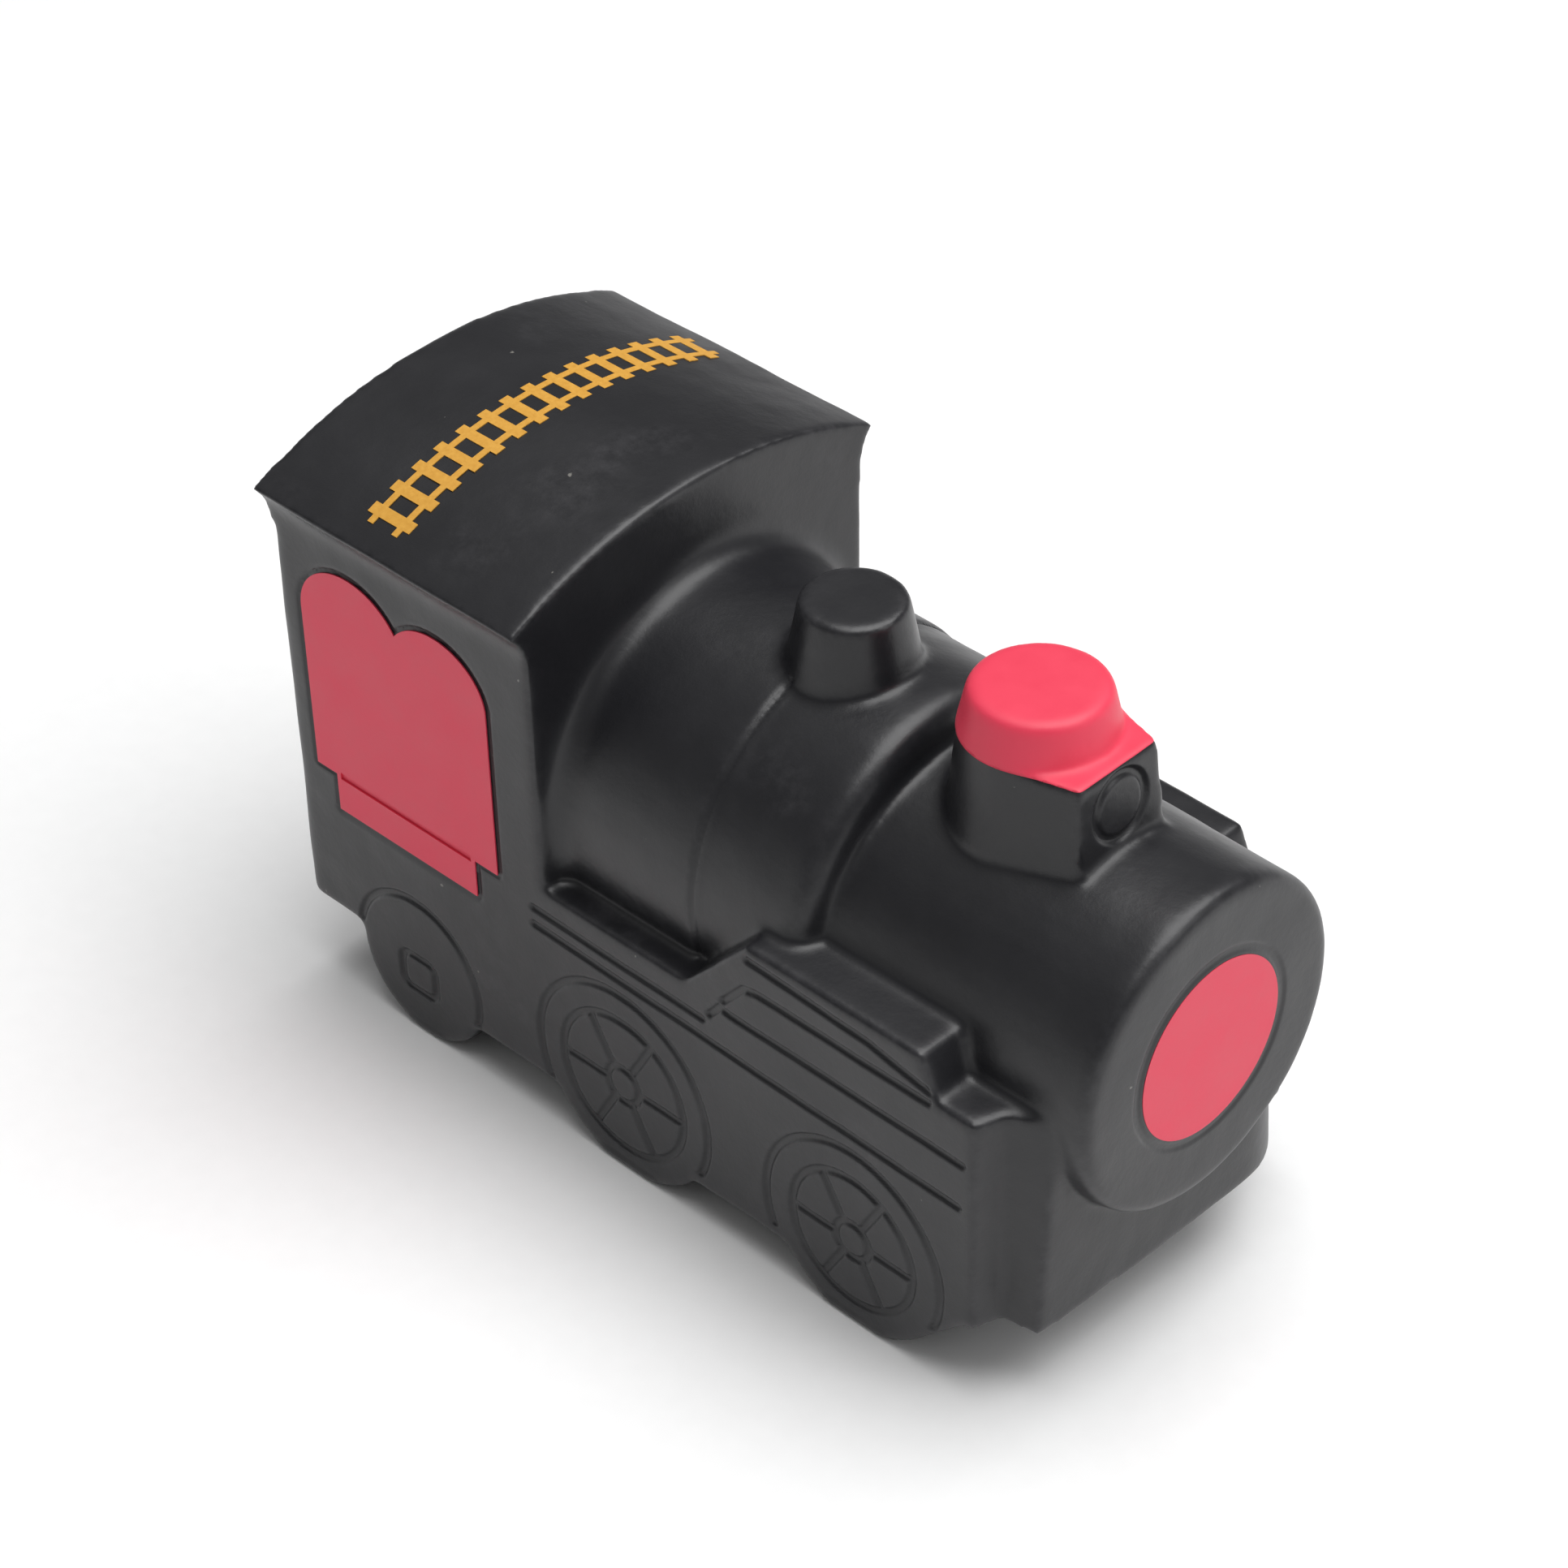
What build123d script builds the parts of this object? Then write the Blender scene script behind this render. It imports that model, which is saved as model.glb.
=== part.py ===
from build123d import *
from math import acos, atan2, cos, radians, sin, sqrt, tan
import os

os.makedirs("parts", exist_ok=True)

# A soft foam locomotive. It stands on its wheels at z = 0, its nose points to +X, and the origin lies
# under the middle of its box. Stations along the length are measured from the rear wall.
length = 108.0
rear = -length / 2
body_width = 48.4
half_width = body_width / 2

# Layers, from the outside in
film = 0.15  # red paint and roof print, let into the coat
coat = 0.3  # flexible black coat
skin = 1.5  # dense foam skin

# Cab and arched roof
cab_front = rear + 39.2
cab_corner = 1.6
eave_height = 65.2
eave_half_width = 26.1
roof_height = 71.4
fascia_foot = 60.9  # where the sloping fascia under the eave meets the side wall
roof_rise = roof_height - eave_height
roof_radius = (eave_half_width**2 + roof_rise**2) / (2 * roof_rise)
overlap = 0.5  # how far the roof reaches down into the cab

# Sides: running board, ramp, fender and front shelf
board_height = 32.3
ramp_foot = rear + 59.7
ramp_top = rear + 68.6
fender_height = 42.0
fender_front = rear + 92.0
shelf_rear = rear + 94.0
shelf_height = 37.2
skirt_front = rear + 99.0
rear_belly = 10.3
front_belly = 9.7
corner_drop = 1.6  # rounding of the lower rear corner

# Wheels, as station, axle height and radius, from the rear one forward
wheels = [(rear + 18.1, 9.3, 9.5), (rear + 49.9, 12.0, 12.5), (rear + 82.75, 11.4, 12.0)]
belly_between = [5.5, 4.5]  # underside behind and ahead of the middle wheel

# Pilot block below the smokebox
pilot_front = rear + 105.3
pilot_corner = rear + 104.4
pilot_half_width = 21.1  # at floor level; its sides close in above and run into the barrel
pilot_taper = 0.075  # inward on each side per unit of height
left_nose_round = 9.5  # the left front corner is much rounder than the right one
left_nose_turn = radians(62)  # how far around that rounding turns before it meets the skirt
crease = (rear + 100.1, 20.7)

# Boiler and smokebox barrel: their undersides line up, so the barrel's axis is lower
boiler_axis = 39.1
boiler_radius = 21.2
rear_section_step = 0.4
step_station = rear + 58.6
boiler_front = rear + 74.0
shoulder = 2.6
shoulder_rim = (0.4, 4.0)  # depth and width of the faint cone inside the shoulder
wall_fillet = 2.6
wall_reach = 4.0  # how far the boiler runs back into the cab
barrel_axis = 36.9
barrel_rear_radius = 19.0
barrel_front_radius = 18.6
barrel_rim = 1.5
barrel_reach = 12.0  # how far the barrel runs back into the boiler

# Dome, chimney and headlamp box
dome_station = rear + 60.9
dome_top = 67.5
dome_foot = boiler_axis + boiler_radius - 6.0  # inside the boiler
dome_foot_radius = 8.0
dome_top_radius = 5.6
chimney_station = rear + 85.3
chimney_radius = 8.0
cap_foot = 64.5
cap_top = 69.6
cap_neck = 3.0
cap_neck_step = 1.0
cap_edge = 1.0
cap_foot_radius = 8.2
cap_top_radius = 7.1
box_top = 64.8
box_front = rear + 95.3
box_front_half_width = 5.6
box_taper = 5.5  # the chimney and its box flare downward together
box_depth = 14.0

# Engraved lines
groove_width = 0.45
groove_depth = 0.5
line_runs = [  # straight lines in the side, as runs of (station, height)
    [(37.5, 26.9), (97.0, 25.4)],
    [(37.5, 29.1), (62.3, 28.7)],
    [(63.4, 30.0), (64.9, 31.8), (66.4, 31.6), (97.5, 31.2)],
    [(65.4, 32.9), (68.3, 36.2), (70.0, 36.6), (93.0, 36.5)],
    [(69.0, 40.3), (85.0, 39.5), (93.2, 37.9)],
]
spoked_wheels = [(wheels[1], 8.9), (wheels[2], 8.3)]  # each with the radius of its inner rim line
rim_line_end = belly_between[0] + 1.0
rear_line_end = rear_belly + 1.0
hub_radius = 2.3
spokes = 6
axle_box = (rear + 17.9, 8.3)
axle_box_width = 5.2
axle_box_height = 4.8
axle_box_round = 1.4
disc_radius = 10.1
face_rings = [10.9, 17.6]  # lines around the disc and around the rim of the smokebox face
lamp_height = 60.2
lamp_radius = 3.5
line_overrun = 1.0  # how far the cutters stand out of the surface

# Window: two arches over one pane, with a narrower panel under the sill
panes = [  # rear, front, foot and top
    (rear + 4.1, rear + 32.4, 30.6, 51.4),
    (rear + 7.2, rear + 28.9, 25.8, 30.6),
]
arches = [(rear + 12.0, 7.9, 6.9), (rear + 25.1, 7.3, 6.1)]  # station, half span and rise
sill_height = 30.6
sill_station = rear + 18.05
sill_length = 20.5
sill_line_width = 0.9
sill_line_depth = 0.25

# Red top of the chimney and lamp box
red_line = box_top - 0.35

# Printed railway track across the roof
print_station = rear + 17.2
print_length = 46.0
rail_gauge = 3.6
rail_width = 0.8
tie_length = 6.2
tie_width = 1.3
ties = 15


def side_outline(inset):
    """Side view of the lower body: cab wall, boards, fender, skirt, belly and wheel lobes."""
    rear_wheel, middle_wheel, front_wheel = wheels
    ramp_angle = atan2(fender_height - board_height, ramp_top - ramp_foot)
    ramp_shift = inset * tan(ramp_angle / 2)
    slope_angle = atan2(fender_height - shelf_height, shelf_rear - fender_front)
    slope_shift = inset * tan(slope_angle / 2)
    # The belly leaves the front wheel at 45 degrees and rises to the underside of the pilot
    lead_out = (front_wheel[2] - inset) / sqrt(2)
    lead_station = front_wheel[0] + lead_out
    lead_height = front_wheel[1] - lead_out
    points = [
        (rear + inset, rear_belly + inset),
        (rear + inset, fascia_foot - inset),
        (cab_front - inset, fascia_foot - inset),
        (cab_front - inset, board_height - inset),
        (ramp_foot + ramp_shift, board_height - inset),
        (ramp_top + ramp_shift, fender_height - inset),
        (fender_front - slope_shift, fender_height - inset),
        (shelf_rear - slope_shift, shelf_height - inset),
        (-rear, shelf_height - inset),
        (-rear, front_belly + inset),
        (lead_station + front_belly + inset - lead_height, front_belly + inset),
        (lead_station, lead_height),
        (front_wheel[0], belly_between[1] + inset),
        (middle_wheel[0], belly_between[1] + inset),
        (middle_wheel[0], belly_between[0] + inset),
        (rear_wheel[0], belly_between[0] + inset),
        (rear_wheel[0], rear_belly + inset),
    ]
    with BuildSketch(Plane.XZ.offset(half_width + 1)) as outline:
        with BuildLine():
            Polyline(*points, close=True)
        make_face()
        if corner_drop > inset:
            lower_rear = outline.vertices().sort_by(Axis.X)[:2].sort_by(Axis.Y)[0]
            fillet(lower_rear, corner_drop - inset)
        for station, height, radius in wheels:
            with Locations((station, height)):
                Circle(radius - inset)
        with Locations((0, inset - length / 2)):
            Rectangle(2 * length, length, mode=Mode.SUBTRACT)
    return outline.sketch


def plan_outline(inset, height):
    """Top view of the lower body at a height, with the pilot block's narrower nose."""
    side = half_width - inset
    pilot_side = pilot_half_width - pilot_taper * height
    corner = (pilot_corner - inset, pilot_side - inset)
    hollow = (crease[0] - 0.7 * inset, crease[1] - inset)
    skirt = (skirt_front - 0.5 * inset, side)
    nose_radius = left_nose_round - inset
    nose_centre = (pilot_front - left_nose_round, pilot_side - left_nose_round)
    nose_points = [
        (nose_centre[0] + nose_radius * cos(angle), nose_centre[1] + nose_radius * sin(angle))
        for angle in (left_nose_turn, left_nose_turn / 2, 0)
    ]
    with BuildSketch(Plane.XY.offset(height)) as outline:
        with BuildLine():
            Polyline(
                (corner[0], -corner[1]),
                (hollow[0], -hollow[1]),
                (skirt[0], -skirt[1]),
                (rear + inset, -side),
                (rear + inset, side),
                skirt,
                nose_points[0],
            )
            ThreePointArc(*nose_points)
            TangentArc(nose_points[2], (corner[0], -corner[1]), tangent=(0, -1))
        make_face()
        if cab_corner > inset:
            fillet(outline.vertices().sort_by(Axis.X)[:2], cab_corner - inset)
    return outline.sketch


def roof_section(inset):
    """Cross-section of the arched roof, with the hollow fascia under each eave."""
    eave = (eave_half_width - 1.7 * inset, eave_height - 0.5 * inset)
    foot = (half_width - inset, fascia_foot)
    base = fascia_foot - inset - overlap
    hollow = ((eave[0] + foot[0]) / 2 - 0.5, (eave[1] + foot[1]) / 2)
    with BuildSketch(Plane.YZ.offset(rear + inset)) as section:
        with BuildLine():
            ThreePointArc((-eave[0], eave[1]), (0, roof_height - inset), eave)
            ThreePointArc(eave, hollow, foot)
            Polyline(foot, (foot[0], base), (-foot[0], base), (-foot[0], foot[1]))
            ThreePointArc((-foot[0], foot[1]), (-hollow[0], hollow[1]), (-eave[0], eave[1]))
        make_face()
    return section.sketch


def boiler_profile(inset):
    """Half profile of the boiler, turned about its own axis."""
    rear_radius = boiler_radius + rear_section_step - inset
    radius = boiler_radius - inset
    face_radius = radius - shoulder
    wall = cab_front - inset
    front = boiler_front - inset
    rim = front - shoulder_rim[0]
    with BuildSketch(Plane.XZ) as profile:
        with BuildLine():
            Polyline(
                (wall - wall_reach, boiler_axis),
                (wall - wall_reach, boiler_axis + rear_radius + wall_fillet),
                (wall, boiler_axis + rear_radius + wall_fillet),
            )
            RadiusArc(
                (wall, boiler_axis + rear_radius + wall_fillet),
                (wall + wall_fillet, boiler_axis + rear_radius),
                -wall_fillet,
            )
            Polyline(
                (wall + wall_fillet, boiler_axis + rear_radius),
                (step_station - inset, boiler_axis + rear_radius),
                (step_station - inset, boiler_axis + radius),
                (rim - shoulder, boiler_axis + radius),
            )
            RadiusArc(
                (rim - shoulder, boiler_axis + radius),
                (rim, boiler_axis + face_radius),
                shoulder,
            )
            Polyline(
                (rim, boiler_axis + face_radius),
                (front, boiler_axis + face_radius - shoulder_rim[1]),
                (front, boiler_axis),
                (wall - wall_reach, boiler_axis),
            )
        make_face()
    return profile.sketch


def barrel_profile(inset):
    """Half profile of the smokebox barrel, slightly tapered, with a soft front rim."""
    nose = -rear - inset
    front_radius = barrel_front_radius - inset
    with BuildSketch(Plane.XZ) as profile:
        with BuildLine():
            Polyline(
                (nose, barrel_axis),
                (boiler_front - barrel_reach, barrel_axis),
                (boiler_front - barrel_reach, barrel_axis + barrel_rear_radius - inset),
                (nose - barrel_rim, barrel_axis + front_radius),
            )
            RadiusArc(
                (nose - barrel_rim, barrel_axis + front_radius),
                (nose, barrel_axis + front_radius - barrel_rim),
                barrel_rim,
            )
            Line((nose, barrel_axis + front_radius - barrel_rim), (nose, barrel_axis))
        make_face()
    return profile.sketch


def box_outline(inset):
    """Top view of the chimney with its lamp box: straight sides run from it to a square front."""
    front = box_front - inset
    half_front = box_front_half_width - inset
    # Each side leaves the round chimney as a tangent
    reach = front - chimney_station
    span = sqrt(reach**2 + half_front**2)
    tangent = atan2(half_front, reach) + acos((chimney_radius - inset) / span)
    touch = (
        chimney_station + (chimney_radius - inset) * cos(tangent),
        (chimney_radius - inset) * sin(tangent),
    )
    with BuildSketch(Plane.XY.offset(box_top - inset)) as outline:
        with BuildLine():
            Polyline(touch, (front, half_front), (front, -half_front), (touch[0], -touch[1]))
            ThreePointArc((touch[0], -touch[1]), (chimney_station - chimney_radius + inset, 0), touch)
        make_face()
    return outline.sketch


def chimney_cap(inset):
    """The tapered disc on top of the chimney, with a short neck that stands in it."""
    with BuildPart() as cap:
        with BuildSketch(Plane.XY.offset(cap_foot - cap_neck)):
            with Locations((chimney_station, 0)):
                Circle(cap_foot_radius - inset - cap_neck_step)
        extrude(amount=cap_neck)
        with Locations((chimney_station, 0, cap_foot)):
            Cone(
                cap_foot_radius - inset,
                cap_top_radius - inset,
                cap_top - cap_foot - inset,
                align=(Align.CENTER, Align.CENTER, Align.MIN),
            )
        fillet(cap.edges().sort_by(Axis.Z)[-1], cap_edge)
    return cap.part


def loco_form(inset):
    """The whole toy without its engraved lines, made smaller by inset on every side."""
    with BuildPart() as form:
        add(side_outline(inset))
        extrude(amount=body_width + 2, dir=(0, 1, 0))
        loft([plan_outline(inset, 0), plan_outline(inset, roof_height)], ruled=True, mode=Mode.INTERSECT)
        add(roof_section(inset))
        extrude(amount=cab_front - rear - 2 * inset, dir=(1, 0, 0))
        add(boiler_profile(inset))
        revolve(axis=Axis((0, 0, boiler_axis), (1, 0, 0)))
        add(barrel_profile(inset))
        revolve(axis=Axis((0, 0, barrel_axis), (1, 0, 0)))
        with Locations((dome_station, 0, dome_foot)):
            Cone(
                dome_foot_radius - inset,
                dome_top_radius - inset,
                dome_top - dome_foot - inset,
                align=(Align.CENTER, Align.CENTER, Align.MIN),
            )
        add(box_outline(inset))
        extrude(amount=-box_depth, taper=-box_taper)
        add(chimney_cap(inset))
    return form.part


def window_cutter(depth):
    """The window's outline, as a block that reaches depth into the right side."""
    with BuildPart() as cutter:
        with BuildSketch(Plane.XZ.offset(half_width - depth)):
            for low, high, foot, top in panes:
                with Locations(((low + high) / 2, (foot + top) / 2)):
                    Rectangle(high - low, top - foot)
            for station, half_span, rise in arches:
                with Locations((station, panes[0][3])):
                    Ellipse(half_span, rise)
        extrude(amount=depth + line_overrun)
    return cutter.part


def sill_cutter(extra):
    """The line pressed along the window sill, widened and deepened by extra."""
    depth = sill_line_depth + extra
    with BuildPart() as cutter:
        with BuildSketch(Plane.XZ.offset(half_width - depth)):
            with Locations((sill_station, sill_height)):
                Rectangle(sill_length + 2 * extra, sill_line_width + 2 * extra)
        extrude(amount=depth + line_overrun)
    return cutter.part


def side_cutter(extra):
    """Every line engraved in the right side, widened and deepened by extra."""
    depth = groove_depth + extra
    width = groove_width + 2 * extra
    with BuildPart() as cutter:
        with BuildSketch(Plane.XZ.offset(half_width - depth)):
            for station, height, radius in wheels:
                with Locations((station, height)):
                    Circle(radius + width / 2)
                    Circle(radius - width / 2, mode=Mode.SUBTRACT)
            # The outer rim lines end just above the belly
            with Locations((0, rim_line_end - extra - length / 2)):
                Rectangle(2 * length, length, mode=Mode.SUBTRACT)
            with Locations((wheels[0][0] - length / 2, rear_line_end - extra - length / 2)):
                Rectangle(length, length, mode=Mode.SUBTRACT)
            for (station, height, radius), inner_radius in spoked_wheels:
                with Locations((station, height)):
                    Circle(inner_radius + width / 2)
                    Circle(inner_radius - width / 2, mode=Mode.SUBTRACT)
                    with PolarLocations((inner_radius + hub_radius) / 2, spokes):
                        Rectangle(inner_radius - hub_radius, width)
                    Circle(hub_radius + width / 2)
                    Circle(hub_radius - width / 2, mode=Mode.SUBTRACT)
            with Locations(axle_box):
                RectangleRounded(axle_box_width + width, axle_box_height + width, axle_box_round)
                RectangleRounded(
                    axle_box_width - width,
                    axle_box_height - width,
                    axle_box_round - width / 2,
                    mode=Mode.SUBTRACT,
                )
            for run in line_runs:
                points = [(rear + station, height) for station, height in run]
                with BuildLine():
                    Polyline(*points)
                trace(line_width=width)
                # Round ends and corners
                with Locations(*points):
                    Circle(width / 2)
        extrude(amount=depth + line_overrun)
    return cutter.part


def face_cutter(extra):
    """The ring lines in the smokebox face and the lamp's ring in the sloping front of its box."""
    depth = groove_depth + extra
    width = groove_width + 2 * extra
    slope = radians(box_taper)
    lamp_station = box_front + (box_top - lamp_height) * tan(slope)
    lamp_plane = Plane((lamp_station, 0, lamp_height), x_dir=(0, 1, 0), z_dir=(cos(slope), 0, sin(slope)))
    with BuildPart() as cutter:
        with BuildSketch(Plane.YZ.offset(-rear - depth)):
            with Locations((0, barrel_axis)):
                for radius in reversed(face_rings):
                    Circle(radius + width / 2)
                    Circle(radius - width / 2, mode=Mode.SUBTRACT)
        with BuildSketch(lamp_plane.offset(-depth)):
            Circle(lamp_radius + width / 2)
            Circle(lamp_radius - width / 2, mode=Mode.SUBTRACT)
        extrude(amount=depth + line_overrun)
    return cutter.part


def engraved_form(inset):
    """The toy's form with its engraved lines, made smaller by inset."""
    with BuildPart() as form:
        add(loco_form(inset))
        for side in (side_cutter(inset), sill_cutter(max(inset, film))):
            add(side, mode=Mode.SUBTRACT)
            add(side.mirror(Plane.XZ), mode=Mode.SUBTRACT)
        add(face_cutter(inset), mode=Mode.SUBTRACT)
    return form.part


whole_form = loco_form(0)

# Soft foam block inside: the body of the toy
with BuildPart() as foam_core:
    add(loco_form(coat + skin))
foam_core.part.label = "foam_core"
export_step(foam_core.part, "parts/foam_core.step")

# Dense skin that the foam forms against the mould, with the lines pressed into it
with BuildPart() as foam_skin:
    add(engraved_form(coat))
    add(foam_core.part, mode=Mode.SUBTRACT)
foam_skin.part.label = "foam_skin"
export_step(foam_skin.part, "parts/foam_skin.step")

# Red window on the right side: a thin paint film that also lines the sill groove
with BuildPart() as window_paint_right:
    add(window_cutter(film))
    add(sill_cutter(film))
    add(sill_cutter(0), mode=Mode.SUBTRACT)
    add(whole_form, mode=Mode.INTERSECT)
window_paint_right.part.label = "window_paint_right"
export_step(window_paint_right.part, "parts/window_paint_right.step")

# The same film on the left side
with BuildPart() as window_paint_left:
    add(window_paint_right.part)
    mirror(about=Plane.XZ, mode=Mode.REPLACE)
window_paint_left.part.label = "window_paint_left"
export_step(window_paint_left.part, "parts/window_paint_left.step")

# Red film over the chimney's cap and the top of the lamp box
with BuildPart() as chimney_paint:
    with BuildSketch(Plane.XY.offset(red_line)):
        with Locations((chimney_station, 0)):
            Rectangle(4 * chimney_radius, 4 * chimney_radius)
    extrude(amount=cap_top)
    add(whole_form, mode=Mode.INTERSECT)
    add(loco_form(film), mode=Mode.SUBTRACT)
chimney_paint.part.label = "chimney_paint"
export_step(chimney_paint.part, "parts/chimney_paint.step")

# Red disc on the smokebox face
with BuildPart() as smokebox_paint:
    with BuildSketch(Plane.YZ.offset(-rear - film)):
        with Locations((0, barrel_axis)):
            Circle(disc_radius)
    extrude(amount=film)
smokebox_paint.part.label = "smokebox_paint"
export_step(smokebox_paint.part, "parts/smokebox_paint.step")

# Gold railway track printed across the roof, from eave to eave
with BuildPart() as roof_print:
    with BuildSketch(Plane.XY.offset(eave_height)):
        with Locations((print_station, 0)):
            with GridLocations(rail_gauge, 0, 2, 1):
                Rectangle(rail_width, print_length)
            with GridLocations(0, print_length / ties, 1, ties):
                Rectangle(tie_length, tie_width)
    extrude(amount=roof_rise + line_overrun)
    with BuildSketch(Plane.YZ.offset(rear), mode=Mode.PRIVATE) as roof_layer:
        with Locations((0, roof_height - roof_radius)):
            Circle(roof_radius)
            Circle(roof_radius - film, mode=Mode.SUBTRACT)
    extrude(roof_layer.sketch, amount=cab_front - rear, mode=Mode.INTERSECT)
roof_print.part.label = "roof_print"
export_step(roof_print.part, "parts/roof_print.step")

# Flexible black coat over everything, with the paint films let into it
with BuildPart() as black_coat:
    add(engraved_form(0))
    add(engraved_form(coat), mode=Mode.SUBTRACT)
    for layer in (window_paint_right, window_paint_left, chimney_paint, smokebox_paint, roof_print):
        add(layer.part, mode=Mode.SUBTRACT)
black_coat.part.label = "black_coat"
export_step(black_coat.part, "parts/black_coat.step")
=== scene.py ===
import math

import bmesh
import bpy
import numpy as np
from mathutils import Matrix, Vector, noise
from mathutils.bvhtree import BVHTree


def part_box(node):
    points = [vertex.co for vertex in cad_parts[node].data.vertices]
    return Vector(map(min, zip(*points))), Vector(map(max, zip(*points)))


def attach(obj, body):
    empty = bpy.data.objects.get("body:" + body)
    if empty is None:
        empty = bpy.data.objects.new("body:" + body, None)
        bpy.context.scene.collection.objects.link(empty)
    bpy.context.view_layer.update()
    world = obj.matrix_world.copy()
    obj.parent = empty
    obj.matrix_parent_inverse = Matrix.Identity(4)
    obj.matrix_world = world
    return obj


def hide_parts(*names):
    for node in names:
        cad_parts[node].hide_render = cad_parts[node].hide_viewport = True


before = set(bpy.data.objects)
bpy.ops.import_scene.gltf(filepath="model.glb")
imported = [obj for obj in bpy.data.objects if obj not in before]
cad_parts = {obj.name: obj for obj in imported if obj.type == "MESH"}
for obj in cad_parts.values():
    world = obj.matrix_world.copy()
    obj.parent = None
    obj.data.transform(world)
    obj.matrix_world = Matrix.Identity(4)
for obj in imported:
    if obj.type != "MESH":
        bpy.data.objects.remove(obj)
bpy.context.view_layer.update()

MM = 0.001

# ---- Moulded body -----------------------------------------------------------------------------------
# The whole engine is one casting of soft polyurethane foam with a flexible black coat over it. The closed
# mould gives it soft edges, a slightly uneven surface, and shallow pressed lines for wheels and boards.
coat_low, coat_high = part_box("black_coat")
cap_low, cap_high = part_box("chimney_paint")
disc_low, disc_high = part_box("smokebox_paint")
side_y = -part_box("window_paint_right")[0].y
nose_x = coat_high.x
barrel_z = (disc_low.z + disc_high.z) / 2
rim_radius = 18.6 * MM
rim_round = 1.5 * MM
boiler_z = barrel_z + 2.2 * MM
boiler_step_x = coat_low.x + 58.6 * MM
lamp_slope = math.radians(5.5)
lamp_drop = 4.25 * MM  # from the paint line down to the lamp
lamp_radius = 4.2 * MM
lamp_centre = np.array((cap_high.x + lamp_drop * math.tan(lamp_slope), 0.0, cap_low.z - lamp_drop))
lamp_normal = np.array((math.cos(lamp_slope), 0.0, math.sin(lamp_slope)))
eave_drop = 6.2 * MM  # from the crown of the roof down to the eaves
roof_radius = (coat_high.y**2 + eave_drop**2) / (2 * eave_drop)
roof_centre_z = coat_high.z - roof_radius
line_floor = 0.7 * MM  # no pressed line is deeper than this


def outside_of(node):
    """The outer surface of a hollow CAD solid: its vertices and its triangles."""
    bm = bmesh.new()
    bm.from_mesh(node.data)
    bmesh.ops.remove_doubles(bm, verts=bm.verts, dist=2e-7)
    bmesh.ops.triangulate(bm, faces=bm.faces)
    start = max(bm.verts, key=lambda v: v.co.z)
    seen = {start}
    ahead = [start]
    while ahead:
        for edge in ahead.pop().link_edges:
            for vert in edge.verts:
                if vert not in seen:
                    seen.add(vert)
                    ahead.append(vert)
    bmesh.ops.delete(bm, geom=[v for v in bm.verts if v not in seen], context="VERTS")
    bm.verts.index_update()
    points = np.array([v.co for v in bm.verts])
    faces = np.array([[v.index for v in f.verts] for f in bm.faces])
    bm.free()
    return points, faces


def closed_over(points):
    """The same points with every pressed line and paint recess filled up to the surface around it."""
    filled = points.copy()
    x, y, z = points.T
    on_side = (np.abs(y) > side_y - line_floor) & (np.abs(y) < side_y) & (z < 60 * MM)
    on_side &= (x > coat_low.x + 2 * MM) & (x < nose_x - 9.1 * MM)
    filled[on_side, 1] = np.sign(y[on_side]) * side_y
    radius = np.hypot(y, z - barrel_z)
    on_face = (x > nose_x - 0.6 * MM) & (radius < rim_radius - 0.5 * MM)
    over = np.clip(radius - (rim_radius - rim_round), 0, rim_round)
    face_x = nose_x - rim_round + np.sqrt(rim_round**2 - over**2)
    filled[on_face, 0] = face_x[on_face]
    depth = (points - lamp_centre) @ lamp_normal
    near_lamp = np.linalg.norm(points - lamp_centre, axis=1) < lamp_radius
    on_lamp = near_lamp & (depth < -0.05 * MM) & (depth > -line_floor)
    filled[on_lamp] -= depth[on_lamp, None] * lamp_normal
    roof = np.hypot(y, z - roof_centre_z)
    on_roof = (z > 66 * MM) & (x < -20 * MM) & (roof > roof_radius - 0.2 * MM)
    scale = roof_radius / roof
    filled[on_roof, 1] *= scale[on_roof]
    filled[on_roof, 2] = roof_centre_z + (z[on_roof] - roof_centre_z) * scale[on_roof]
    return filled


cad_points, cad_faces = outside_of(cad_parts["black_coat"])
filled_points = closed_over(cad_points)
rise = np.linalg.norm(filled_points - cad_points, axis=1)[cad_faces]
below_roof = (filled_points[cad_faces][:, :, 2] < 60 * MM).all(1)
in_line = ((rise > 0.35 * MM) & (rise < 0.6 * MM)).all(1)
in_paint = ((rise > 0.1 * MM) & (rise < 0.2 * MM)).all(1) & below_roof
pressed = BVHTree.FromPolygons(filled_points.tolist(), cad_faces[in_line].tolist())
painted = BVHTree.FromPolygons(filled_points.tolist(), cad_faces[in_paint].tolist())


def remeshed(name, points, faces, voxel):
    """A new object from these triangles, remeshed into even quads of one voxel."""
    mesh = bpy.data.meshes.new(name)
    mesh.from_pydata(points.tolist(), [], faces.tolist())
    piece = bpy.data.objects.new(name, mesh)
    bpy.context.scene.collection.objects.link(piece)
    remesh = piece.modifiers.new("even", "REMESH")
    remesh.mode = "VOXEL"
    remesh.voxel_size = voxel
    graph = bpy.context.evaluated_depsgraph_get()
    even = bpy.data.meshes.new_from_object(piece.evaluated_get(graph))
    piece.modifiers.clear()
    piece.data = even
    return piece


def points_of(piece):
    flat = np.zeros(len(piece.data.vertices) * 3, np.float32)
    piece.data.vertices.foreach_get("co", flat)
    return flat.reshape(-1, 3).astype(float)


def normals_of(piece):
    flat = np.zeros(len(piece.data.vertices) * 3, np.float32)
    piece.data.vertex_normals.foreach_get("vector", flat)
    return flat.reshape(-1, 3).astype(float)


def set_points(piece, points):
    piece.data.vertices.foreach_set("co", points.astype(np.float32).ravel())
    piece.data.update()


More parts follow.
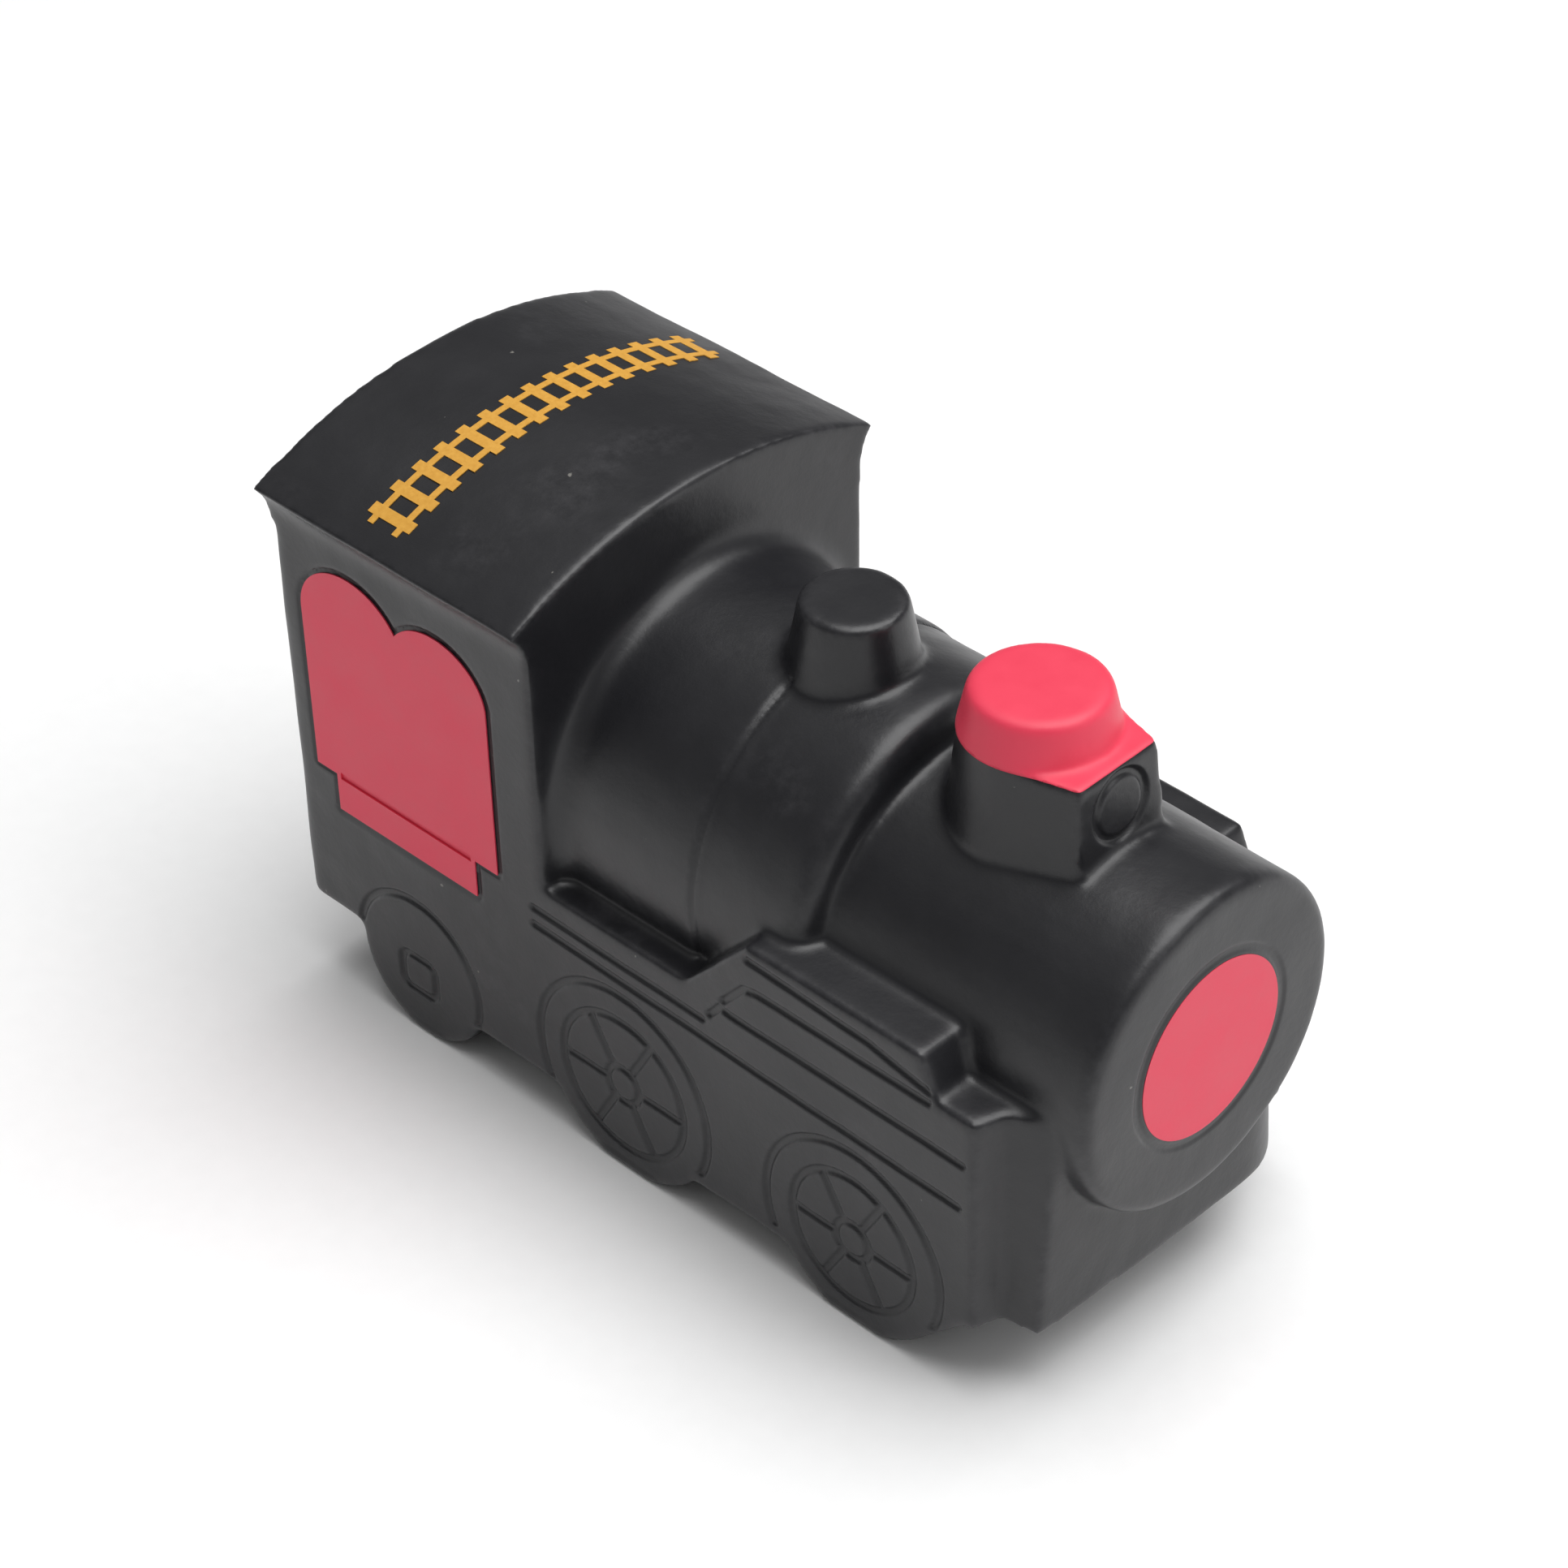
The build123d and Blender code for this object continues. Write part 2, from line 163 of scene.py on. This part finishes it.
def edges_of(piece):
    flat = np.zeros(len(piece.data.edges) * 2, np.int32)
    piece.data.edges.foreach_get("vertices", flat)
    return flat.reshape(-1, 2)


def neighbour_mean(points, edges):
    """For each vertex, the mean of the vertices that it shares an edge with."""
    total = np.zeros_like(points)
    count = np.bincount(edges.ravel(), minlength=len(points))
    for axis in range(3):
        total[:, axis] = np.bincount(edges[:, 0], points[edges[:, 1], axis], len(points))
        total[:, axis] += np.bincount(edges[:, 1], points[edges[:, 0], axis], len(points))
    return total / np.maximum(count, 1)[:, None]


def softened(points, edges, rounds, amount):
    for _ in range(rounds):
        points = points + amount * (neighbour_mean(points, edges) - points)
    return points


body = remeshed("moulded_body", filled_points, cad_faces, 0.38 * MM)
edges = edges_of(body)
points = points_of(body)
# Eaves, chimney and pilot leave the mould sharper than the boards and the boiler
at_eave = (np.abs(points[:, 1]) > 22.5 * MM) & (points[:, 2] > 59 * MM)
at_chimney = (points[:, 2] > 57 * MM) & (points[:, 0] > 22 * MM)
at_pilot = (points[:, 2] < 30 * MM) & (points[:, 0] > 43 * MM)
amount = np.select((at_eave, at_chimney, at_pilot), (0.22, 0.2, 0.3), 0.5)[:, None]
points = softened(points, edges, 12, amount)
set_points(body, points)

# Lines narrower than the even quads need smaller ones, so the quads round each line are divided
bm = bmesh.new()
bm.from_mesh(body.data)
bm.verts.ensure_lookup_table()
near_line = set()
for vert in bm.verts:
    by_line = pressed.find_nearest(vert.co, 0.9 * MM)[0] is not None
    by_paint = painted.find_nearest(vert.co, 0.9 * MM)[0] is not None
    under_paint = painted.find_nearest(vert.co, 0.2 * MM)[0] is not None
    if by_line or (by_paint and not under_paint):
        near_line.add(vert)
fine_edges = {e for v in near_line for e in v.link_edges if e.other_vert(v) in near_line}
bmesh.ops.subdivide_edges(bm, edges=list(fine_edges), cuts=1, use_grid_fill=True)
bm.to_mesh(body.data)
bm.free()

# Depths from here to the displacement are in millimetres
points = points_of(body)
normals = normals_of(body)
far_away = 9.0
line_gap = np.full(len(points), far_away)
paint_gap = np.full(len(points), far_away)
for i, point in enumerate(points.tolist()):
    for surface, gaps in ((pressed, line_gap), (painted, paint_gap)):
        hit = surface.find_nearest(point, 1.2 * MM)
        if hit[0] is not None:
            gaps[i] = hit[3] / MM
x, y, z = points.T
line_depth = 0.36 * np.exp(-((np.maximum(line_gap - 0.02, 0) / 0.22) ** 2))
line_depth[x > nose_x - 0.9 * MM] *= 0.5
step_gap = np.abs(x - boiler_step_x) / MM
boiler_reach = np.hypot(y, z - boiler_z)
on_boiler = (boiler_reach > 20.6 * MM) & (boiler_reach < 22 * MM) & (z > 32 * MM)
step_depth = 0.22 * np.exp(-((step_gap / 0.3) ** 2)) * on_boiler
outline_depth = 0.32 * np.exp(-(((paint_gap - 0.3) / 0.26) ** 2)) * (z > 24 * MM) * (x < 0)
depth = np.maximum.reduce((line_depth, outline_depth, step_depth))
# Broad swells and small dimples over the casting. There are none under the paint, which lies proud of it.
spots = [Vector(point) / MM for point in points.tolist()]
swell = np.array([noise.noise(spot / 11) for spot in spots])
dimple = np.array([noise.noise(spot / 3.1) for spot in spots])
clear = np.clip((paint_gap - 0.4) / 0.8, 0, 1)
paint_stands = 0.06
foot = 1 * MM  # the soles of the wheels stay flat
uneven = np.clip(0.07 + 0.11 * swell + 0.035 * dimple, 0, 0.3)
depth += np.where(z > foot, paint_stands * (1 - clear) + uneven * clear, 0)
points -= normals * depth[:, None] * MM
set_points(body, points)
for polygon in body.data.polygons:
    polygon.use_smooth = True

# How far each point stands out as an edge, from 0 to 1, for the wear of the coat
mesh_edges = edges_of(body)
normals = normals_of(body)
smooth_points = softened(points, mesh_edges, 6, 0.5)
proud = ((points - smooth_points) * normals).sum(1) / MM
proud = softened(np.repeat(proud[:, None], 3, 1), mesh_edges, 3, 0.5)[:, 0]
attribute = body.data.attributes.new("edge", "FLOAT", "POINT")
attribute.data.foreach_set("value", np.clip(proud / 0.12, 0, 1).astype(np.float32))


def linear(code):
    """A linear colour from an sRGB hex code."""
    parts = [int(code[i : i + 2], 16) / 255 for i in (1, 3, 5)]
    return [c / 12.92 if c <= 0.04045 else ((c + 0.055) / 1.055) ** 2.4 for c in parts] + [1.0]


def add_node(tree, kind, settings, links):
    """Adds a node, sets its properties and inputs, and links its inputs to other nodes' outputs."""
    node = tree.nodes.new(kind)
    for name, value in settings.items():
        if isinstance(name, int) or name in node.inputs:
            node.inputs[name].default_value = value
        else:
            setattr(node, name, value)
    for name, output in links.items():
        tree.links.new(output, node.inputs[name])
    return node


# Flexible polyurethane coat, sprayed satin over the foam: almost black, paler where edges rub and in a few
# worn patches, with a fine orange peel and pin-sized flecks where the foam below shows.
satin_coat = bpy.data.materials.new("sprayed_polyurethane_coat")
satin_coat.use_nodes = True
tree = satin_coat.node_tree
tree.nodes.clear()
place = add_node(tree, "ShaderNodeTexCoord", {}, {}).outputs["Object"]
cloud = add_node(
    tree, "ShaderNodeTexNoise",
    {"Scale": 1 / (14 * MM), "Detail": 4.0, "Roughness": 0.6},
    {"Vector": place},
)
tone = add_node(
    tree, "ShaderNodeMix",
    {"data_type": "RGBA", 6: linear("#18181B"), 7: linear("#202023")},
    {0: cloud.outputs[0]},
)
edge = add_node(tree, "ShaderNodeAttribute", {"attribute_name": "edge"}, {})
rub = add_node(
    tree, "ShaderNodeTexNoise",
    {"Scale": 1 / (2.2 * MM), "Detail": 5.0, "Roughness": 0.7},
    {"Vector": place},
)
rub_mask = add_node(
    tree, "ShaderNodeMapRange", {1: 0.42, 2: 0.72, 3: 0.0, 4: 1.0}, {0: rub.outputs[0]}
)
wear = add_node(
    tree, "ShaderNodeMath",
    {"operation": "MULTIPLY"},
    {0: edge.outputs["Fac"], 1: rub_mask.outputs[0]},
)
wear_limit = add_node(
    tree, "ShaderNodeMath",
    {"operation": "MULTIPLY", 1: 0.4},
    {0: wear.outputs[0]},
)
patch = add_node(
    tree, "ShaderNodeTexNoise",
    {"Scale": 1 / (17 * MM), "Detail": 2.0},
    {"Vector": place},
)
patch_mask = add_node(
    tree, "ShaderNodeMapRange",
    {1: 0.58, 2: 0.72, 3: 0.0, 4: 0.22},
    {0: patch.outputs[0]},
)
scuff = add_node(
    tree, "ShaderNodeMath",
    {"operation": "MULTIPLY"},
    {0: patch_mask.outputs[0], 1: rub_mask.outputs[0]},
)
pale = add_node(
    tree, "ShaderNodeMath",
    {"operation": "MAXIMUM"},
    {0: wear_limit.outputs[0], 1: scuff.outputs[0]},
)
worn = add_node(
    tree, "ShaderNodeMix",
    {"data_type": "RGBA", 7: linear("#5A595C")},
    {0: pale.outputs[0], 6: tone.outputs[2]},
)
jitter = add_node(
    tree, "ShaderNodeTexNoise",
    {"Scale": 1 / (0.5 * MM), "Detail": 1.0},
    {"Vector": place},
)
ragged = add_node(
    tree, "ShaderNodeVectorMath", {"operation": "MULTIPLY_ADD", 1: (0.5 * MM, 0.5 * MM, 0.5 * MM)},
    {0: jitter.outputs["Color"], 2: place},
)
cells = add_node(
    tree, "ShaderNodeTexVoronoi",
    {"Scale": 1 / (5 * MM), "Randomness": 1.0},
    {"Vector": ragged.outputs[0]},
)
pick = add_node(tree, "ShaderNodeSeparateColor", {}, {0: cells.outputs["Color"]})
width = add_node(
    tree, "ShaderNodeMapRange",
    {1: 0.3, 2: 1.0, 3: 0.0, 4: 0.055},
    {0: pick.outputs[0]},
)
dot = add_node(
    tree, "ShaderNodeMath",
    {"operation": "SUBTRACT"},
    {0: width.outputs[0], 1: cells.outputs["Distance"]},
)
fleck = add_node(tree, "ShaderNodeMapRange", {1: 0.0, 2: 0.02, 3: 0.0, 4: 0.8}, {0: dot.outputs[0]})
flecked = add_node(
    tree, "ShaderNodeMix",
    {"data_type": "RGBA", 7: linear("#7C7A75")},
    {0: fleck.outputs[0], 6: worn.outputs[2]},
)
peel = add_node(
    tree, "ShaderNodeTexNoise",
    {"Scale": 1 / (0.9 * MM), "Detail": 2.0},
    {"Vector": place},
)
grain = add_node(
    tree, "ShaderNodeTexNoise",
    {"Scale": 1 / (0.22 * MM), "Detail": 2.0},
    {"Vector": place},
)
relief = add_node(
    tree, "ShaderNodeMath",
    {"operation": "MULTIPLY_ADD", 1: 0.35},
    {0: grain.outputs[0], 2: peel.outputs[0]},
)
bump = add_node(
    tree, "ShaderNodeBump", {"Strength": 0.35, "Distance": 0.06 * MM}, {"Height": relief.outputs[0]}
)
gloss = add_node(
    tree, "ShaderNodeMapRange",
    {1: 0.3, 2: 0.7, 3: 0.32, 4: 0.42},
    {0: cloud.outputs[0]},
)
shader = add_node(
    tree, "ShaderNodeBsdfPrincipled", {"IOR": 1.5},
    {"Base Color": flecked.outputs[2], "Roughness": gloss.outputs[0], "Normal": bump.outputs[0]},
)
add_node(tree, "ShaderNodeOutputMaterial", {}, {"Surface": shader.outputs[0]})
body.data.materials.clear()
body.data.materials.append(satin_coat)
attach(body, "root")
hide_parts("black_coat")

# ---- Foam inside ------------------------------------------------------------------------------------
# Under the coat the foam has closed up into a skin against the mould, and behind that it is open and soft.
# Neither shows, but a cut through the toy would go from black to firm cream skin to cellular foam.
skin = bpy.data.objects.new("dense_skin", body.data.copy())
bpy.context.scene.collection.objects.link(skin)
skin_points = points_of(skin) - normals_of(skin) * 0.35 * MM
set_points(skin, skin_points)
foam = bpy.data.materials.new("moulded_polyurethane_foam")
foam.use_nodes = True
tree = foam.node_tree
tree.nodes.clear()
place = add_node(tree, "ShaderNodeTexCoord", {}, {}).outputs["Object"]
pores = add_node(tree, "ShaderNodeTexVoronoi", {"Scale": 1 / (0.6 * MM)}, {"Vector": place})
# The foam colour darkens towards the middle of each pore, where the bump sinks: painted shade in the pore
# hollows.
tone = add_node(
    tree, "ShaderNodeMix", {"data_type": "RGBA", 6: linear("#B9AE93"), 7: linear("#E6DEC8")},
    {0: pores.outputs["Distance"]},
)
bump = add_node(
    tree, "ShaderNodeBump",
    {"Strength": 0.8, "Distance": 0.2 * MM},
    {"Height": pores.outputs["Distance"]},
)
shader = add_node(
    tree, "ShaderNodeBsdfPrincipled", {"IOR": 1.5, "Roughness": 0.9},
    {"Base Color": tone.outputs[2], "Normal": bump.outputs[0]},
)
add_node(tree, "ShaderNodeOutputMaterial", {}, {"Surface": shader.outputs[0]})
skin.data.materials.clear()
skin.data.materials.append(foam)
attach(skin, "root")
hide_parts("foam_skin")
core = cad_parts["foam_core"]
core.data.materials.clear()
core.data.materials.append(foam)

# ---- Red paint --------------------------------------------------------------------------------------
# Windows, smokebox disc and chimney top are brushed with a flexible red paint that lies a little proud of
# the coat. It is satin, faintly streaked, and thinner towards its edges.
red_paint = bpy.data.materials.new("flexible_red_paint")
red_paint.use_nodes = True
tree = red_paint.node_tree
tree.nodes.clear()
place = add_node(tree, "ShaderNodeTexCoord", {}, {}).outputs["Object"]
cloud = add_node(
    tree, "ShaderNodeTexNoise",
    {"Scale": 1 / (5 * MM), "Detail": 4.0, "Roughness": 0.6},
    {"Vector": place},
)
tone = add_node(
    tree, "ShaderNodeMix",
    {"data_type": "RGBA", 6: linear("#DB354E"), 7: linear("#E6405A")},
    {0: cloud.outputs[0]},
)
peel = add_node(
    tree, "ShaderNodeTexNoise",
    {"Scale": 1 / (0.8 * MM), "Detail": 3.0},
    {"Vector": place},
)
bump = add_node(
    tree, "ShaderNodeBump",
    {"Strength": 0.3, "Distance": 0.05 * MM},
    {"Height": peel.outputs[0]},
)
gloss = add_node(
    tree, "ShaderNodeMapRange",
    {1: 0.3, 2: 0.7, 3: 0.42, 4: 0.55},
    {0: cloud.outputs[0]},
)
shader = add_node(
    tree, "ShaderNodeBsdfPrincipled", {"IOR": 1.48},
    {"Base Color": tone.outputs[2], "Roughness": gloss.outputs[0], "Normal": bump.outputs[0]},
)
add_node(tree, "ShaderNodeOutputMaterial", {}, {"Surface": shader.outputs[0]})
for name in ("window_paint_right", "window_paint_left", "smokebox_paint"):
    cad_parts[name].data.materials.clear()
    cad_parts[name].data.materials.append(red_paint)

# The chimney's film follows the casting: its faces above the paint line, lifted and given a thickness
cap = bpy.data.objects.new("chimney_top_paint", bpy.data.meshes.new("chimney_top_paint"))
bpy.context.scene.collection.objects.link(cap)
bm = bmesh.new()
bm.from_mesh(body.data)
outside = [v for v in bm.verts if v.co.z < cap_low.z - 2 * MM or v.co.x < cap_low.x - 2 * MM]
bmesh.ops.delete(bm, geom=outside, context="VERTS")
everything = bm.verts[:] + bm.edges[:] + bm.faces[:]
bmesh.ops.bisect_plane(
    bm, geom=everything, plane_co=(0, 0, cap_low.z), plane_no=(0, 0, 1), clear_inner=True
)
bm.to_mesh(cap.data)
bm.free()
cap.data.update()
set_points(cap, points_of(cap) + normals_of(cap) * 0.12 * MM)
solid = cap.modifiers.new("film", "SOLIDIFY")
solid.thickness = 0.15 * MM
solid.offset = -1.0
cap.data.materials.clear()
cap.data.materials.append(red_paint)
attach(cap, "root")
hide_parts("chimney_paint")

# ---- Roof print -------------------------------------------------------------------------------------
# A plain railway track, pad-printed in gold ink across the roof. The pad wraps it over the curve, so it is
# one thin raised film.
print_low, print_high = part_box("roof_print")
print_x = (print_low.x + print_high.x) / 2
half_length = print_high.y
ties = 15
tie_width = 1.3 * MM
pitch = 2 * half_length / ties
columns = np.array([-3.1, -2.2, -1.4, 1.4, 2.2, 3.1]) * MM  # ends of the ties and edges of the rails
rows = []
for tie in range(ties):
    middle = -half_length + (tie + 0.5) * pitch
    rows += [middle - tie_width / 2, middle + tie_width / 2]
rows = np.array([-half_length] + rows + [half_length])
track = bpy.data.objects.new("roof_track_print", bpy.data.meshes.new("roof_track_print"))
bpy.context.scene.collection.objects.link(track)
bm = bmesh.new()
grid = [[bm.verts.new((print_x + c, r, 0)) for c in columns] for r in rows]
for i in range(len(rows) - 1):
    for j in range(len(columns) - 1):
        if i % 2 == 1 or j in (1, 3):
            bm.faces.new((grid[i][j], grid[i][j + 1], grid[i + 1][j + 1], grid[i + 1][j]))
bmesh.ops.delete(bm, geom=[v for v in bm.verts if not v.link_faces], context="VERTS")
bmesh.ops.subdivide_edges(bm, edges=bm.edges[:], cuts=2, use_grid_fill=True)
ink_radius = roof_radius + 0.02 * MM
for vert in bm.verts:
    vert.co.z = roof_centre_z + math.sqrt(ink_radius**2 - vert.co.y**2)
bm.normal_update()
bm.to_mesh(track.data)
bm.free()
solid = track.modifiers.new("film", "SOLIDIFY")
solid.thickness = 0.1 * MM
solid.offset = -1.0
gold_ink = bpy.data.materials.new("pad_printed_gold_ink")
gold_ink.use_nodes = True
tree = gold_ink.node_tree
tree.nodes.clear()
place = add_node(tree, "ShaderNodeTexCoord", {}, {}).outputs["Object"]
speck = add_node(
    tree, "ShaderNodeTexNoise",
    {"Scale": 1 / (0.5 * MM), "Detail": 3.0},
    {"Vector": place},
)
tone = add_node(
    tree, "ShaderNodeMix",
    {"data_type": "RGBA", 6: linear("#BD8526"), 7: linear("#D9A443")},
    {0: speck.outputs[0]},
)
bump = add_node(
    tree, "ShaderNodeBump",
    {"Strength": 0.3, "Distance": 0.03 * MM},
    {"Height": speck.outputs[0]},
)
gloss = add_node(
    tree, "ShaderNodeMapRange",
    {1: 0.3, 2: 0.7, 3: 0.5, 4: 0.62},
    {0: speck.outputs[0]},
)
shader = add_node(
    tree, "ShaderNodeBsdfPrincipled", {"IOR": 1.48},
    {"Base Color": tone.outputs[2], "Roughness": gloss.outputs[0], "Normal": bump.outputs[0]},
)
add_node(tree, "ShaderNodeOutputMaterial", {}, {"Surface": shader.outputs[0]})
track.data.materials.append(gold_ink)
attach(track, "root")
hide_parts("roof_print")

# ---- Floor, light and camera ------------------------------------------------------------------------
# A white sheet under the toy, one large soft light overhead and a small one ahead of it. The room is dim
# at the sides, so the black coat stays black, and paler at the horizon and high up.
floor = bpy.data.objects.new("floor", bpy.data.meshes.new("floor"))
bpy.context.scene.collection.objects.link(floor)
bm = bmesh.new()
bmesh.ops.create_grid(bm, x_segments=2, y_segments=2, size=4)
bm.to_mesh(floor.data)
bm.free()
sheet = bpy.data.materials.new("white_card")
sheet.use_nodes = True
tree = sheet.node_tree
tree.nodes.clear()
place = add_node(tree, "ShaderNodeTexCoord", {}, {}).outputs["Object"]
fibre = add_node(
    tree, "ShaderNodeTexNoise",
    {"Scale": 1 / (3 * MM), "Detail": 3.0},
    {"Vector": place},
)
tone = add_node(
    tree, "ShaderNodeMix",
    {"data_type": "RGBA", 6: linear("#F2F2F2"), 7: linear("#F6F6F6")},
    {0: fibre.outputs[0]},
)
shader = add_node(
    tree, "ShaderNodeBsdfPrincipled",
    {"Roughness": 0.9},
    {"Base Color": tone.outputs[2]},
)
add_node(tree, "ShaderNodeOutputMaterial", {}, {"Surface": shader.outputs[0]})
floor.data.materials.append(sheet)

world = bpy.data.worlds.new("room")
bpy.context.scene.world = world
world.use_nodes = True
tree = world.node_tree
way = add_node(tree, "ShaderNodeTexCoord", {}, {}).outputs["Generated"]
height = add_node(tree, "ShaderNodeSeparateXYZ", {}, {0: way})
horizon = add_node(
    tree, "ShaderNodeMapRange",
    {1: 0.0, 2: 0.25, 3: 0.7, 4: 0.12},
    {0: height.outputs["Z"]},
)
ceiling = add_node(
    tree, "ShaderNodeMapRange",
    {1: 0.42, 2: 0.62, 3: 0.0, 4: 0.34},
    {0: height.outputs["Z"]},
)
room = add_node(
    tree, "ShaderNodeMath",
    {"operation": "MAXIMUM"},
    {0: horizon.outputs[0], 1: ceiling.outputs[0]},
)
tree.links.new(room.outputs[0], tree.nodes["Background"].inputs["Strength"])
tree.nodes["Background"].inputs["Color"].default_value = (1, 1, 1, 1)
for name, spot, size, power in (
    ("overhead", (0.20, 0.22, 1.12), 1.1, 16.2),
    ("front", (0.95, 0.30, 0.60), 0.5, 1.4),
):
    lamp = bpy.data.lights.new(name, "AREA")
    lamp.shape = "SQUARE"
    lamp.size = size
    lamp.energy = power
    light = bpy.data.objects.new(name, lamp)
    bpy.context.scene.collection.objects.link(light)
    light.location = spot
    light.rotation_euler = (Vector((0, 0, 0.03)) - Vector(spot)).to_track_quat("-Z", "Y").to_euler()

azimuth, elevation, roll = (math.radians(a) for a in (44.92, 38.44, -1.43))
level = math.cos(elevation)
ahead = Vector((-level * math.cos(azimuth), level * math.sin(azimuth), -math.sin(elevation)))
across = ahead.cross(Vector((0, 0, 1))).normalized()
up = across.cross(ahead)
tilted = math.cos(roll) * across + math.sin(roll) * up
up = tilted.cross(ahead)
lens = bpy.data.cameras.new("camera")
lens.sensor_width = 36
lens.lens = 100.13
lens.clip_start = 0.01
camera = bpy.data.objects.new("camera", lens)
bpy.context.scene.collection.objects.link(camera)
camera.rotation_euler = Matrix((tilted, up, -ahead)).transposed().to_euler()
camera.location = Vector((-5.5, 2.1, 36.1)) * MM - ahead * 455 * MM
bpy.context.scene.camera = camera
bpy.context.scene.view_settings.view_transform = "Standard"
